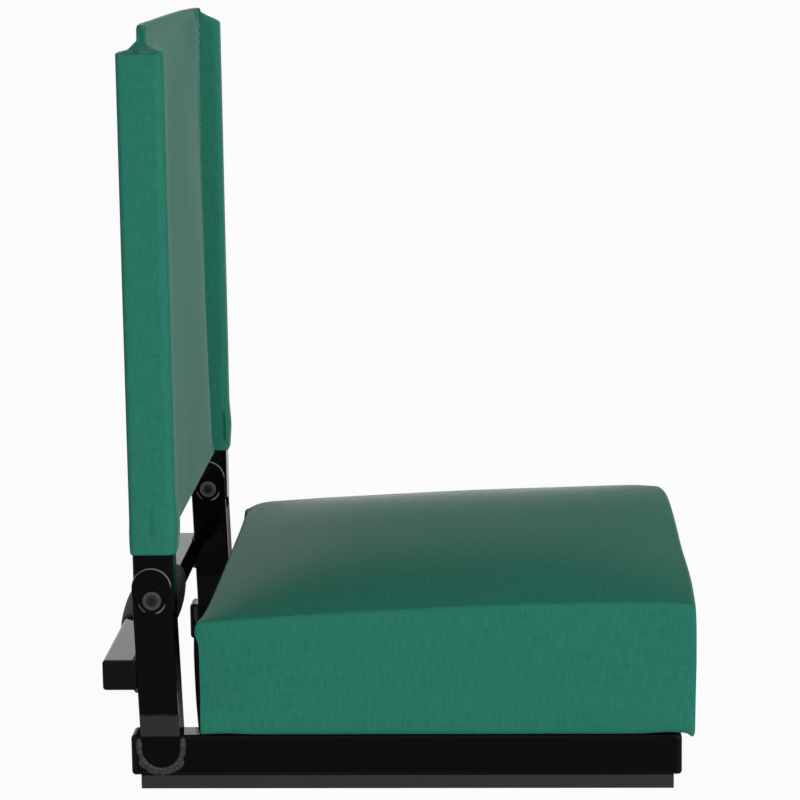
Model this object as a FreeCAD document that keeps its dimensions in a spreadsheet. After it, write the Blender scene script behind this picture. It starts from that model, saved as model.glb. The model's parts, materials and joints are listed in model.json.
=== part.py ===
import FreeCAD, Part
import math
import os
import Sketcher
from FreeCAD import Placement, Rotation, Vector

# Folding stadium seat: padded cushion on a tube base, cloth back that folds forward on two pivots.
# The seat faces +X, its left side is +Y, and it stands on its rubber strips at Z = 0.
# Lengths are millimetres and the riser's lean is degrees.
SIZES = {
    "rail_rear": -196.5,          # rear end of the side rails, from the origin
    "base_width": 422,            # over the rails' outer faces
    "rail_length": 405,           # over the end plugs
    "rail_height": 30.5,
    "rail_width": 25,
    "rail_wall": 1.5,
    "rail_corner": 3,
    "rail_plug_flange": 4,        # part of a rail plug that shows
    "rail_plug_insert": 14,       # part of a rail plug inside the tube
    "rail_plug_round": 3,
    "plug_fit": 0.1,              # gap between a plug and its tube
    "strip_height": 10,           # rubber under the rails
    "strip_width": 24,
    "strip_rear_inset": 7,        # rail end to strip end, at the rear
    "strip_front_inset": 6,       # the same at the front
    "cross_size": 20,             # square tubes between the rails
    "cross_wall": 1.5,
    "cross_corner": 2.5,
    "rear_cross_ahead": 105,      # middle of the rear cross tube, ahead of the rails' rear end
    "front_cross_ahead": 345,     # the same for the front one
    "riser_lean": 1.8,            # the risers lean back by this angle
    "pivot_ahead": 18.9,          # pivot axis, ahead of the rails' rear end
    "pivot_height": 143.2,
    "plate_width": 29,
    "plate_thick": 2.5,
    "plate_round": 0.6,           # rounding of a plate's outward edge
    "plate_arch": 9.4,            # centre of the round top, above the pivot
    "plate_foot": 112.2,          # centre of the round foot, below the pivot
    "collar_dia": 19,             # shallow recess round a pivot head
    "collar_depth": 0.8,
    "collar_round": 0.6,          # rounding of the recess's rim
    "stub_depth": 28.5,           # riser tube between the plates, front to back
    "stub_wall": 1.5,
    "bar_depth": 25,              # carry bar, front to back
    "bar_height": 22.5,
    "bar_wall": 1.5,
    "bar_corner": 2.5,
    "bar_top": 98.2,              # height of the bar's upper face
    "bar_plug_flange": 3,
    "bar_plug_insert": 12,
    "grip_length": 144,
    "grip_swell": 4.8,            # how far the grip's middle stands out from the bar
    "grip_end": 0.9,              # how far its ends stand out
    "grip_corner": 8,
    "grip_fit": 0.1,
    "sleeve_dia": 10,             # pivot sleeve that the bushes turn on
    "pivot_thread": 6,
    "head_dia": 14,
    "head_height": 2.2,
    "head_round": 0.8,
    "socket_size": 5,             # hexagon socket, across its flats
    "socket_depth": 1.4,
    "running_fit": 0.05,
    "sleeve_end_gap": 0.4,        # sleeve end to bolt head
    "thread_length": 22,
    "bush_wall": 1.3,
    "bush_length": 5,
    "bush_flange_dia": 18,
    "bush_flange": 0.9,
    "side_play": 0.1,             # bush flange to riser plate
    "post_depth": 30,             # back post, front to back
    "post_wall": 1.5,
    "post_corner": 3,
    "post_offset": 0.9,           # post axis ahead of the pivot
    "heel_drop": 18.5,            # pivot down to the riser tube's end, where the heel stops
    "heel_flat": 3,               # flat of the heel ends this far behind the pivot
    "toe_gap": 0.4,               # rounded toe to the riser tube's end
    "stop_gap": 0.05,
    "post_plug_flange": 2,
    "post_plug_insert": 14,
    "cross_bar_thick": 3,         # flat bars between the posts
    "cross_bar_height": 20,
    "cross_bar_inset": 14,        # bar to the cover's hem, or to the sleeves' tops
    "cloth": 0.8,
    "cloth_gap": 0.4,             # cloth to what it covers
    "cover_hem": 178,             # height of the cover's lower edge
    "back_top": 540,              # height of the sleeves' tops
    "sleeve_tuck": 6,             # tucked cloth above a sleeve's end
    "sleeve_draw": 8,             # how far the tucked end is drawn in
    "sling_top": 557,
    "sling_behind": 2.8,          # middle of the sling behind the posts' axis
    "sling_inset": 8.5,           # end of the sling's upper edge, inside a post's axis
    "screw_height": 191,
    "screw_dia": 3.9,
    "screw_length": 7,
    "screw_head_dia": 5.5,
    "screw_head": 1.8,
    "screw_fit": 0.1,
    "seat_rear": 51.5,            # rear of the cushion, ahead of the rails' rear end
    "seat_length": 365.5,
    "seat_inset": 5.5,            # cushion's lower edge, inside the rails' outer faces
    "seat_swell": 3,              # how far each side swells at half height
    "seat_draw": 3,               # how far each side is drawn in at the upper edge
    "seat_edge": 85,              # height of the upper edge at the rear, above the rails
    "seat_rise": 12,              # how much higher the front's upper edge is
    "seat_crown": 15,
    "seat_round": 10,             # rounding along the upper edges
    "seat_end_round": 12,         # rounding at the cushion's ends
    "seat_end_draw": 5,           # how far the sides come in at the ends
    "seat_end_drop": 10,          # how far the top comes down at the ends
    "lip_width": 18,              # cloth turned in under the board
    "board_thick": 9,
    "board_corner": 14,
    "board_gap": 3.2,             # board's edge to the cover
    "seat_bolt_dia": 6,
    "seat_bolt_hole": 6.6,
    "seat_bolt_head_dia": 12,
    "seat_bolt_head": 4.2,
    "seat_bolt_spread": 220,      # between the two bolts of a cross tube
    "seat_bolt_short": 0.5,       # bolt end below the board's upper face
    "washer_dia": 16,
    "washer_thick": 1.4,
    "tee_flange_dia": 19,
    "tee_flange": 1.5,
    "tee_barrel_dia": 8,
    "tee_barrel": 7,
    "tee_fit": 0.1,
}

SIDES = (("left", 1), ("right", -1))
GRIP_STEPS = 10
END_SHARES = (0, 0.15, 0.5, 1, 2.2, 4.5)
MIDDLE_SHARES = (0.3, 0.5, 0.7)
HEXAGON = [(math.cos(math.radians(60 * k)) / math.sqrt(3), math.sin(math.radians(60 * k)) / math.sqrt(3))
           for k in range(6)]

doc = FreeCAD.newDocument("stadium_seat")
sheet = doc.addObject("Spreadsheet::Sheet", "dims")
for row, (alias, number) in enumerate(SIZES.items(), 1):
    sheet.set("A%d" % row, alias.replace("_", " "))
    sheet.set("B%d" % row, str(number))
    sheet.setAlias("B%d" % row, alias)
doc.recompute()

# Places that several pieces share, as formulas of the sheet's cells.
LEAN = "tan(dims.riser_lean * 1 deg)"
RAIL_TOP = "(dims.strip_height + dims.rail_height)"
RAIL_MID_Y = "((dims.base_width - dims.rail_width) / 2)"
RAIL_INNER_Y = "(dims.base_width / 2 - dims.rail_width)"
PIVOT_X = "(dims.rail_rear + dims.pivot_ahead)"
POST_X = "(%s + dims.post_offset)" % PIVOT_X
POST_WIDTH = "(dims.rail_width - 2 * dims.bush_flange - 2 * dims.side_play)"
POST_TOP = "(dims.back_top - dims.cloth - dims.cloth_gap - dims.post_plug_flange)"
SLING_X = "(%s - dims.sling_behind)" % POST_X
BAR_FRONT = ("(%s + %s * (dims.pivot_height - dims.bar_top + dims.bar_corner)"
             " - dims.plate_width / 2 / cos(dims.riser_lean * 1 deg))" % (PIVOT_X, LEAN))
BAR_LENGTH = "(dims.base_width + 2 * dims.plate_thick - 2 * dims.bar_plug_flange)"
CROSS_BOTTOM = "(%s - dims.cross_size)" % RAIL_TOP
BOARD_BOTTOM = "(%s + dims.cloth)" % RAIL_TOP
BOARD_TOP = "(%s + dims.board_thick)" % BOARD_BOTTOM
SEAT_WIDTH = "(dims.base_width - 2 * dims.seat_inset)"
SEAT_MID_X = "(dims.rail_rear + dims.seat_rear + dims.seat_length / 2)"

# Width, height, wall and corner of each kind of tube.
RAIL_SIZES = ("dims.rail_width", "dims.rail_height", "dims.rail_wall", "dims.rail_corner")
CROSS_SIZES = ("dims.cross_size", "dims.cross_size", "dims.cross_wall", "dims.cross_corner")
BAR_SIZES = ("dims.bar_depth", "dims.bar_height", "dims.bar_wall", "dims.bar_corner")
POST_SIZES = ("dims.post_depth", POST_WIDTH, "dims.post_wall", "dims.post_corner")


def value(formula):
    """The number that a formula of the sheet's cells gives."""
    return float(sheet.evalExpression(formula))


def new_body(label):
    body = doc.addObject("PartDesign::Body", label)
    body.Label = label
    return body


def new_sketch(body, role, lift=None):
    """A sketch on one of the body's own planes, lifted along its normal if a formula says so."""
    sketch = body.newObject("Sketcher::SketchObject", body.Label + "_sketch")
    plane = [item for item in body.Origin.OriginFeatures if item.Role == role][0]
    sketch.AttachmentSupport = (plane, [""])
    sketch.MapMode = "FlatFace"
    if lift:
        sketch.setExpression("AttachmentOffset.Base.z", lift)
    return sketch


def bind(sketch, constraint, formula):
    """Adds a constraint whose size is a formula."""
    index = sketch.addConstraint(constraint)
    name = "size%d" % index
    sketch.renameConstraint(index, name)
    sketch.setExpression("Constraints." + name, formula)


def outline(sketch, corners):
    """A closed anticlockwise outline of (x, y) corners; a third entry bends the side that starts there."""
    points = [Vector(value(corner[0]), value(corner[1]), 0) for corner in corners]
    first = sketch.GeometryCount
    count = len(points)
    for i, corner in enumerate(corners):
        start, end = points[i], points[(i + 1) % count]
        if len(corner) == 2:
            sketch.addGeometry(Part.LineSegment(start, end), False)
            continue
        radius = value(corner[2])
        chord = end - start
        reach = math.sqrt(max(radius ** 2 - (chord.Length / 2) ** 2, 0))
        centre = (start + end) / 2 + Vector(-chord.y, chord.x, 0).normalize() * reach
        turn = [math.atan2(p.y - centre.y, p.x - centre.x) for p in (start, end)]
        circle = Part.Circle(centre, Vector(0, 0, 1), radius)
        sketch.addGeometry(Part.ArcOfCircle(circle, turn[0], turn[1]), False)
    for i, corner in enumerate(corners):
        sketch.addConstraint(Sketcher.Constraint("Coincident", first + i, 2, first + (i + 1) % count, 1))
        bind(sketch, Sketcher.Constraint("DistanceX", -1, 1, first + i, 1, points[i].x), corner[0])
        bind(sketch, Sketcher.Constraint("DistanceY", -1, 1, first + i, 1, points[i].y), corner[1])
        if len(corner) == 3:
            bind(sketch, Sketcher.Constraint("Radius", first + i, value(corner[2])), corner[2])


def rounded_rectangle(sketch, width, height, radius):
    """A rectangle about the sketch's origin with round corners."""
    right, top = "(%s) / 2" % width, "(%s) / 2" % height
    inner_right, inner_top = "%s - (%s)" % (right, radius), "%s - (%s)" % (top, radius)
    outline(sketch, [("-(%s)" % inner_right, "-(%s)" % top), (inner_right, "-(%s)" % top, radius),
                     (right, "-(%s)" % inner_top), (right, inner_top, radius),
                     (inner_right, top), ("-(%s)" % inner_right, top, radius),
                     ("-(%s)" % right, inner_top), ("-(%s)" % right, "-(%s)" % inner_top, radius)])


def circles(sketch, diameter, centres):
    """Circles of one diameter at (x, y) centres."""
    for x, y in centres:
        middle = Vector(value(x), value(y), 0)
        index = sketch.addGeometry(Part.Circle(middle, Vector(0, 0, 1), value(diameter) / 2), False)
        bind(sketch, Sketcher.Constraint("Diameter", index, value(diameter)), diameter)
        bind(sketch, Sketcher.Constraint("DistanceX", -1, 1, index, 3, middle.x), x)
        bind(sketch, Sketcher.Constraint("DistanceY", -1, 1, index, 3, middle.y), y)


def pad(body, sketch, length, both_ways=False, backward=False):
    feature = body.newObject("PartDesign::Pad", body.Label + "_pad")
    feature.Profile = sketch
    feature.setExpression("Length", length)
    feature.Midplane = both_ways
    feature.Reversed = backward
    return feature


def pocket(body, sketch, depth=None, both_ways=False):
    """A pocket of the given depth, or right through. It is turned round if it points out of the body."""
    doc.recompute()
    before = body.Shape.Volume
    feature = body.newObject("PartDesign::Pocket", body.Label + "_pocket")
    feature.Profile = sketch
    feature.Midplane = both_ways
    if depth:
        feature.setExpression("Length", depth)
    else:
        feature.Type = "ThroughAll"
    doc.recompute()
    if body.Shape.Volume > before - 1e-6:
        feature.Reversed = True
        doc.recompute()
    if body.Shape.Volume > before - 1e-6:
        raise RuntimeError("a pocket of %s cuts nothing" % body.Label)
    return feature


def revolve(body, profile):
    """Turns an outline of (radius, height) corners about the body's Z axis."""
    sketch = new_sketch(body, "XZ_Plane")
    outline(sketch, profile)
    feature = body.newObject("PartDesign::Revolution", body.Label + "_turn")
    feature.Profile = sketch
    feature.ReferenceAxis = (sketch, ["V_Axis"])
    feature.Angle = 360
    return feature


def round_edges(body, feature, radius, chosen):
    """Rounds the edges of a feature that the test picks."""
    doc.recompute()
    names = ["Edge%d" % (i + 1) for i, edge in enumerate(feature.Shape.Edges) if chosen(edge)]
    fillet = body.newObject("PartDesign::Fillet", body.Label + "_round")
    fillet.Base = (feature, names)
    fillet.setExpression("Radius", radius)


def place(item, x, y, z):
    """Puts an object at a point given by three formulas."""
    for axis, formula in zip("xyz", (x, y, z)):
        item.setExpression("Placement.Base." + axis, str(formula))


def tube(label, role, tube_sizes, length):
    """A round-cornered rectangular tube, drawn about its middle on one plane and padded both ways."""
    width, height, wall, corner = tube_sizes
    body = new_body(label)
    sketch = new_sketch(body, role)
    rounded_rectangle(sketch, width, height, corner)
    rounded_rectangle(sketch, "%s - 2 * %s" % (width, wall), "%s - 2 * %s" % (height, wall),
                      "%s - %s" % (corner, wall))
    pad(body, sketch, length, both_ways=True)
    return body


def plug(label, role, tube_sizes, flange, insert, round_over):
    """An end plug for a tube: a flange of the tube's size that rounds over, and an insert with a fit."""
    width, height, wall, corner = tube_sizes
    body = new_body(label)
    sketch = new_sketch(body, role)
    rounded_rectangle(sketch, width, height, corner)
    cap = pad(body, sketch, flange)
    doc.recompute()
    away = cap.Shape.CenterOfMass.normalize()
    reach = value(flange) - 1e-6
    round_edges(body, cap, round_over, lambda edge: all(p.Point.dot(away) > reach for p in edge.Vertexes))
    sketch = new_sketch(body, role)
    rounded_rectangle(sketch, "%s - 2 * %s - 2 * dims.plug_fit" % (width, wall),
                      "%s - 2 * %s - 2 * dims.plug_fit" % (height, wall), "%s - %s" % (corner, wall))
    pad(body, sketch, insert, backward=True)
    return body


def group(label, solid, spots):
    """One node of identical solids, each a copy of a body's shape at a Placement."""
    copies = []
    for spot in spots:
        copy = solid.Shape.copy()
        copy.Placement = spot.multiply(copy.Placement)
        copies.append(copy)
    return feature_of(label, Part.makeCompound(copies))


def feature_of(label, shape):
    item = doc.addObject("Part::Feature", label)
    item.Label = label
    item.Shape = shape
    return item


def turned(axis, angle, x, y, z):
    return Placement(Vector(x, y, z), Rotation(axis, angle))


X_AXIS, Y_AXIS, Z_AXIS = Vector(1, 0, 0), Vector(0, 1, 0), Vector(0, 0, 1)


# Base: rails with their plugs and rubber strips, and the cross tubes between them.
def make_rails():
    tube_length = "dims.rail_length - 2 * dims.rail_plug_flange"
    middle_x = "dims.rail_rear + dims.rail_length / 2"
    middle_z = "dims.strip_height + dims.rail_height / 2"
    for side, sign in SIDES:
        rail = tube("side_rail_" + side, "YZ_Plane", RAIL_SIZES, tube_length)
        place(rail, middle_x, "%d * %s" % (sign, RAIL_MID_Y), middle_z)
        strip = doc.addObject("Part::Box", "rubber_strip_" + side)
        strip.setExpression("Length", "dims.rail_length - dims.strip_rear_inset - dims.strip_front_inset")
        strip.setExpression("Width", "dims.strip_width")
        strip.setExpression("Height", "dims.strip_height")
        place(strip, "dims.rail_rear + dims.strip_rear_inset",
              "%d * %s - dims.strip_width / 2" % (sign, RAIL_MID_Y), 0)
    form = plug("rail_plug_form", "YZ_Plane", RAIL_SIZES, "dims.rail_plug_flange", "dims.rail_plug_insert",
                "dims.rail_plug_round")
    doc.recompute()
    spots = []
    for side, sign in SIDES:
        y = sign * value(RAIL_MID_Y)
        front = value("dims.rail_rear + dims.rail_length - dims.rail_plug_flange")
        rear = value("dims.rail_rear + dims.rail_plug_flange")
        spots.append(turned(Z_AXIS, 0, front, y, value(middle_z)))
        spots.append(turned(Z_AXIS, 180, rear, y, value(middle_z)))
    group("rail_end_plugs", form, spots)


def make_cross_tubes():
    for end in ("rear", "front"):
        body = tube(end + "_cross_tube", "XZ_Plane", CROSS_SIZES, "2 * %s" % RAIL_INNER_Y)
        holes = new_sketch(body, "XY_Plane")
        spots = [("0", "%d * dims.seat_bolt_spread / 2" % sign) for side, sign in SIDES]
        circles(holes, "dims.seat_bolt_hole", spots)
        pocket(body, holes, both_ways=True)
        place(body, "dims.rail_rear + dims.%s_cross_ahead" % end, 0, "%s - dims.cross_size / 2" % RAIL_TOP)


# Risers: two round-ended plates lapped on each rail and a short tube between them.
def lies_at(edge, y, radius=None):
    """True for an edge in a plane of one Y; with a radius, only for a whole circle of that radius."""
    in_plane = all(abs(vertex.Y - y) < 1e-6 for vertex in edge.Vertexes)
    if radius is None:
        return in_plane
    return in_plane and len(edge.Vertexes) == 1 and abs(edge.Curve.Radius - radius) < 1e-6


def make_risers():
    half = "dims.plate_width / 2"
    for side, sign in SIDES:
        for label, face, y in (("riser_outer_plate_", sign, "(dims.base_width + dims.plate_thick) / 2"),
                               ("riser_inner_plate_", -sign, "%s - dims.plate_thick / 2" % RAIL_INNER_Y)):
            body = new_body(label + side)
            sketch = new_sketch(body, "XZ_Plane")
            outline(sketch, [("0", "-dims.plate_foot - %s" % half, half), (half, "-dims.plate_foot"),
                             (half, "dims.plate_arch", half), ("0", "dims.plate_arch + %s" % half, half),
                             ("-%s" % half, "dims.plate_arch"), ("-%s" % half, "-dims.plate_foot", half)])
            plate = pad(body, sketch, "dims.plate_thick", both_ways=True)
            outside = face * value("dims.plate_thick / 2")
            round_edges(body, plate, "dims.plate_round", lambda edge: lies_at(edge, outside))
            hole = new_sketch(body, "XZ_Plane")
            circles(hole, "dims.sleeve_dia + 2 * dims.running_fit", [("0", "0")])
            pocket(body, hole, both_ways=True)
            collar = new_sketch(body, "XZ_Plane", "%d * dims.plate_thick / 2" % -face)
            circles(collar, "dims.collar_dia", [("0", "0")])
            recess = pocket(body, collar, "dims.collar_depth")
            rim = value("dims.collar_dia / 2")
            round_edges(body, recess, "dims.collar_round", lambda edge: lies_at(edge, outside, rim))
            body.Placement = turned(Y_AXIS, -value("dims.riser_lean"), 0, 0, 0)
            body.setExpression("Placement.Rotation.Angle", "-dims.riser_lean * 1 deg")
            place(body, PIVOT_X, "%d * (%s)" % (sign, y), "dims.pivot_height")
        make_stub("riser_stub_" + side, sign)


def make_stub(label, sign):
    """The riser's tube: it stands on the rail, leans with the plates and ends level where the heel stops."""
    drop = "(dims.pivot_height - %s)" % RAIL_TOP
    body = new_body(label)
    outside, inside = "dims.stub_depth / 2", "(dims.stub_depth / 2 - dims.stub_wall)"
    for depth, overrun in ((outside, "0"), (inside, "dims.stub_wall")):
        low, high = "-%s - %s" % (drop, overrun), "-dims.heel_drop + %s" % overrun
        low_x, high_x = "-(%s) * %s" % (low, LEAN), "-(%s) * %s" % (high, LEAN)
        sketch = new_sketch(body, "XZ_Plane")
        outline(sketch, [("%s - %s" % (low_x, depth), low), ("%s + %s" % (low_x, depth), low),
                         ("%s + %s" % (high_x, depth), high), ("%s - %s" % (high_x, depth), high)])
        if overrun == "0":
            pad(body, sketch, "dims.rail_width", both_ways=True)
        else:
            pocket(body, sketch, "dims.rail_width - 2 * dims.stub_wall", both_ways=True)
    place(body, PIVOT_X, "%d * %s" % (sign, RAIL_MID_Y), "dims.pivot_height")


# Carry bar behind the risers, with its plugs and barrel-shaped grip.
def make_handle():
    middle_x = "%s - dims.bar_depth / 2" % BAR_FRONT
    middle_z = "dims.bar_top - dims.bar_height / 2"
    bar = tube("handle_bar", "XZ_Plane", BAR_SIZES, BAR_LENGTH)
    place(bar, middle_x, 0, middle_z)
    form = plug("bar_plug_form", "XZ_Plane", BAR_SIZES, "dims.bar_plug_flange", "dims.bar_plug_insert",
                "dims.bar_corner / 2")
    doc.recompute()
    x, z = value(middle_x), value(middle_z)
    end = value(BAR_LENGTH) / 2
    group("handle_bar_plugs", form, [turned(Z_AXIS, 0, x, -end, z), turned(Z_AXIS, 180, x, end, z)])
    feature_of("handle_grip", grip_shape()).Placement = turned(Z_AXIS, 0, x, 0, z)


def grip_shape():
    """A loft of round-cornered sections that swell in an elliptic curve, bored for the bar."""
    half = value("dims.grip_length / 2")
    low, high = value("dims.grip_end"), value("dims.grip_swell")
    wires = []
    for step in range(GRIP_STEPS + 1):
        angle = math.pi * step / GRIP_STEPS
        y = -half * math.cos(angle)
        rise = low + (high - low) * math.sin(angle)
        width, height = value("dims.bar_depth") + 2 * rise, value("dims.bar_height") + 2 * rise
        spot = Placement(Vector(0, y, 0), Rotation(X_AXIS, 90))
        wires.append(rounded_wire(width, height, value("dims.grip_corner"), spot))
    body = Part.makeLoft(wires, True, False)
    fit = value("dims.grip_fit")
    bore = rounded_wire(value("dims.bar_depth") + 2 * fit, value("dims.bar_height") + 2 * fit,
                        value("dims.bar_corner") + fit, Placement(Vector(0, half, 0), Rotation(X_AXIS, 90)))
    return body.cut(Part.Face(bore).extrude(Vector(0, -2 * half, 0)))


def rounded_wire(width, height, radius, spot):
    """A round-cornered rectangle about a Placement's origin, in its XY plane."""
    right, top = width / 2, height / 2
    edges = []
    for turn, (along, up) in enumerate(((right, top), (top, right), (right, top), (top, right))):
        centre = Vector(along - radius, up - radius, 0)
        slant = radius * math.sqrt(0.5)
        line = Part.LineSegment(Vector(along, radius - up, 0), Vector(along, up - radius, 0)).toShape()
        bend = Part.Arc(Vector(along, up - radius, 0), centre + Vector(slant, slant, 0),
                        Vector(along - radius, up, 0)).toShape()
        for edge in (line, bend):
            edge.rotate(Vector(0, 0, 0), Z_AXIS, 90 * turn)
            edges.append(edge)
    wire = Part.Wire(edges)
    wire.Placement = spot
    return wire


# Pivots: sleeve nut and bolt through the plates, and flanged bushes in the posts.
def make_pivots():
    stack = "dims.rail_width + 2 * dims.plate_thick - 2 * dims.collar_depth"
    thread, sleeve, head = "dims.pivot_thread / 2", "dims.sleeve_dia / 2", "dims.head_dia / 2"
    soft = "dims.head_round"
    rim = [(head, "0"), (head, "dims.head_height - %s" % soft, soft),
           ("%s - %s" % (head, soft), "dims.head_height"), ("0", "dims.head_height")]
    bolt_profile = [("0", "-dims.thread_length"), (thread, "-dims.thread_length"), (thread, "0")] + rim
    bore = "%s + dims.running_fit" % thread
    end = "-(%s) + dims.sleeve_end_gap" % stack
    bore_floor = "%s + dims.thread_length + dims.running_fit" % end
    nut_profile = [("0", bore_floor), (bore, bore_floor), (bore, end), (sleeve, end), (sleeve, "0")] + rim
    outer_y = "(dims.base_width / 2 + dims.plate_thick - dims.collar_depth)"
    inner_y = "(%s - dims.plate_thick + dims.collar_depth)" % RAIL_INNER_Y
    for side, sign in SIDES:
        for label, profile, y, out in (("pivot_bolt_", bolt_profile, outer_y, sign),
                                       ("pivot_sleeve_nut_", nut_profile, inner_y, -sign)):
            body = new_body(label + side)
            revolve(body, profile)
            socket = new_sketch(body, "XY_Plane", "dims.head_height")
            outline(socket, [tuple("dims.socket_size * %.6f" % share for share in tip) for tip in HEXAGON])
            pocket(body, socket, "dims.socket_depth")
            body.Placement = turned(X_AXIS, -90 * out, 0, 0, 0)
            place(body, PIVOT_X, "%d * %s" % (sign, y), "dims.pivot_height")
    make_bushes()


def make_bushes():
    bore, spigot = "dims.sleeve_dia / 2 + dims.running_fit", "dims.sleeve_dia / 2 + dims.bush_wall"
    flange = "dims.bush_flange_dia / 2"
    form = new_body("bush_form")
    revolve(form, [(bore, "-dims.bush_length"), (spigot, "-dims.bush_length"), (spigot, "0"), (flange, "0"),
                   (flange, "dims.bush_flange"), (bore, "dims.bush_flange")])
    doc.recompute()
    spots = []
    for side, sign in SIDES:
        for out in (1, -1):
            y = sign * value(RAIL_MID_Y) + out * value(POST_WIDTH) / 2
            spots.append(turned(X_AXIS, -90 * out, value(PIVOT_X), y, value("dims.pivot_height")))
    group("pivot_bushes", form, spots)


# Back: posts with a square heel and a round toe, plugs, flat bars, cloth cover and its screws.
def is_upright(edge):
    return edge.Curve.TypeId == "Part::GeomLine" and abs(edge.Curve.Direction.z) > 0.99


def make_posts():
    rear, front = "dims.post_offset - dims.post_depth / 2", "dims.post_offset + dims.post_depth / 2"
    top = "%s - dims.pivot_height" % POST_TOP
    heel = "-dims.heel_drop + dims.stop_gap"
    toe = "(dims.heel_drop - dims.toe_gap)"
    toe_end = "-sqrt(%s ^ 2 - (%s) ^ 2)" % (toe, front)
    for side, sign in SIDES:
        body = new_body("back_post_" + side)
        sketch = new_sketch(body, "XZ_Plane")
        outline(sketch, [(rear, heel), ("-dims.heel_flat", heel), ("0", "-" + toe, toe), (front, toe_end),
                         (front, top), (rear, top)])
        bar = pad(body, sketch, POST_WIDTH, both_ways=True)
        round_edges(body, bar, "dims.post_corner", is_upright)
        hollow = new_sketch(body, "XZ_Plane")
        inner_rear, inner_front = "%s + dims.post_wall" % rear, "%s - dims.post_wall" % front
        below, above = "-2 * dims.heel_drop", "%s + dims.heel_drop" % top
        outline(hollow, [(inner_rear, below), (inner_front, below), (inner_front, above),
                         (inner_rear, above)])
        pocket(body, hollow, "%s - 2 * dims.post_wall" % POST_WIDTH, both_ways=True)
        hole = new_sketch(body, "XZ_Plane")
        circles(hole, "dims.sleeve_dia + 2 * dims.bush_wall + 2 * dims.running_fit", [("0", "0")])
        pocket(body, hole, both_ways=True)
        screw = new_sketch(body, "YZ_Plane", rear)
        rise = "dims.screw_height - dims.pivot_height"
        circles(screw, "dims.screw_dia + 2 * dims.screw_fit", [("0", rise)])
        pocket(body, screw, "dims.post_wall + dims.post_offset")
        place(body, PIVOT_X, "%d * %s" % (sign, RAIL_MID_Y), "dims.pivot_height")
    form = plug("post_plug_form", "XY_Plane", POST_SIZES, "dims.post_plug_flange", "dims.post_plug_insert",
                "dims.post_plug_flange / 2")
    doc.recompute()
    x, y, z = value(POST_X), value(RAIL_MID_Y), value(POST_TOP)
    group("post_top_plugs", form, [turned(Z_AXIS, 0, x, sign * y, z) for side, sign in SIDES])


def make_cross_bars():
    reach = "(dims.base_width - dims.rail_width - %s)" % POST_WIDTH
    low = "dims.cover_hem + dims.cross_bar_inset"
    high = "dims.back_top - dims.cross_bar_inset - dims.cross_bar_height"
    for label, z in (("back_cross_bar_lower", low), ("back_cross_bar_upper", high)):
        bar = doc.addObject("Part::Box", label)
        bar.setExpression("Length", "dims.cross_bar_thick")
        bar.setExpression("Width", reach)
        bar.setExpression("Height", "dims.cross_bar_height")
        place(bar, "%s - dims.cross_bar_thick / 2" % SLING_X, "-%s / 2" % reach, z)


def upright(x_size, y_size, radius, x, y, low, high):
    """A round-cornered upright block about a point."""
    foot = rounded_wire(x_size, y_size, radius, Placement(Vector(x, y, low), Rotation()))
    return Part.Face(foot).extrude(Vector(0, 0, high - low))


def cover_shape():
    """A cloth bag: a sleeve round each post, tucked in at its top, and a two-layer sling between them."""
    cloth, gap = value("dims.cloth"), value("dims.cloth_gap")
    hem, top, peak = value("dims.cover_hem"), value("dims.back_top"), value("dims.sling_top")
    post_x, sling_x, middle = value(POST_X), value(SLING_X), value(RAIL_MID_Y)
    inner = (value("dims.post_depth") + 2 * gap, value(POST_WIDTH) + 2 * gap)
    outer = (inner[0] + 2 * cloth, inner[1] + 2 * cloth)
    corner, draw = value("dims.post_corner") + gap + cloth, value("dims.sleeve_draw")
    half = middle - value("dims.sling_inset")
    slot = value("dims.cross_bar_thick") + 2 * gap
    below = hem - value("dims.heel_drop")
    outer_corner = Vector(sling_x - slot / 2 - cloth, -half, hem)
    inner_corner = Vector(sling_x - slot / 2, cloth - half, below)
    bag = Part.makeBox(slot + 2 * cloth, 2 * half, peak - hem, outer_corner)
    room = Part.makeBox(slot, 2 * (half - cloth), peak - cloth - below, inner_corner)
    for side, sign in SIDES:
        y = sign * middle
        bag = bag.fuse(upright(outer[0], outer[1], corner, post_x, y, hem, top))
        shoulder = rounded_wire(outer[0], outer[1], corner, Placement(Vector(post_x, y, top), Rotation()))
        tuck_top = Vector(sling_x, y, top + value("dims.sleeve_tuck"))
        tuck = rounded_wire(outer[0] - 2 * draw, outer[1] - draw, corner, Placement(tuck_top, Rotation()))
        bag = bag.fuse(Part.makeLoft([shoulder, tuck], True, True))
        room = room.fuse(upright(inner[0], inner[1], corner - cloth, post_x, y, below, top - cloth))
        screw = Vector(post_x, y, value("dims.screw_height"))
        radius = value("dims.screw_dia / 2 + dims.screw_fit")
        room = room.fuse(Part.makeCylinder(radius, outer[0] / 2, screw, -X_AXIS))
    return bag.cut(room).removeSplitter()


def make_cover():
    feature_of("back_cover", cover_shape())
    head, shank = "dims.screw_head_dia / 2", "dims.screw_dia / 2"
    form = new_body("cover_screw_form")
    revolve(form, [("0", "-dims.screw_length"), (shank, "-dims.screw_length"), (shank, "0"), (head, "0"),
                   (head, "dims.screw_head / 3"), (shank, "dims.screw_head"), ("0", "dims.screw_head")])
    doc.recompute()
    seat = value("%s - dims.post_depth / 2 - dims.cloth_gap - dims.cloth" % POST_X)
    y, z = value(RAIL_MID_Y), value("dims.screw_height")
    group("cover_screws", form, [turned(Y_AXIS, -90, seat, sign * y, z) for side, sign in SIDES])


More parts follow.
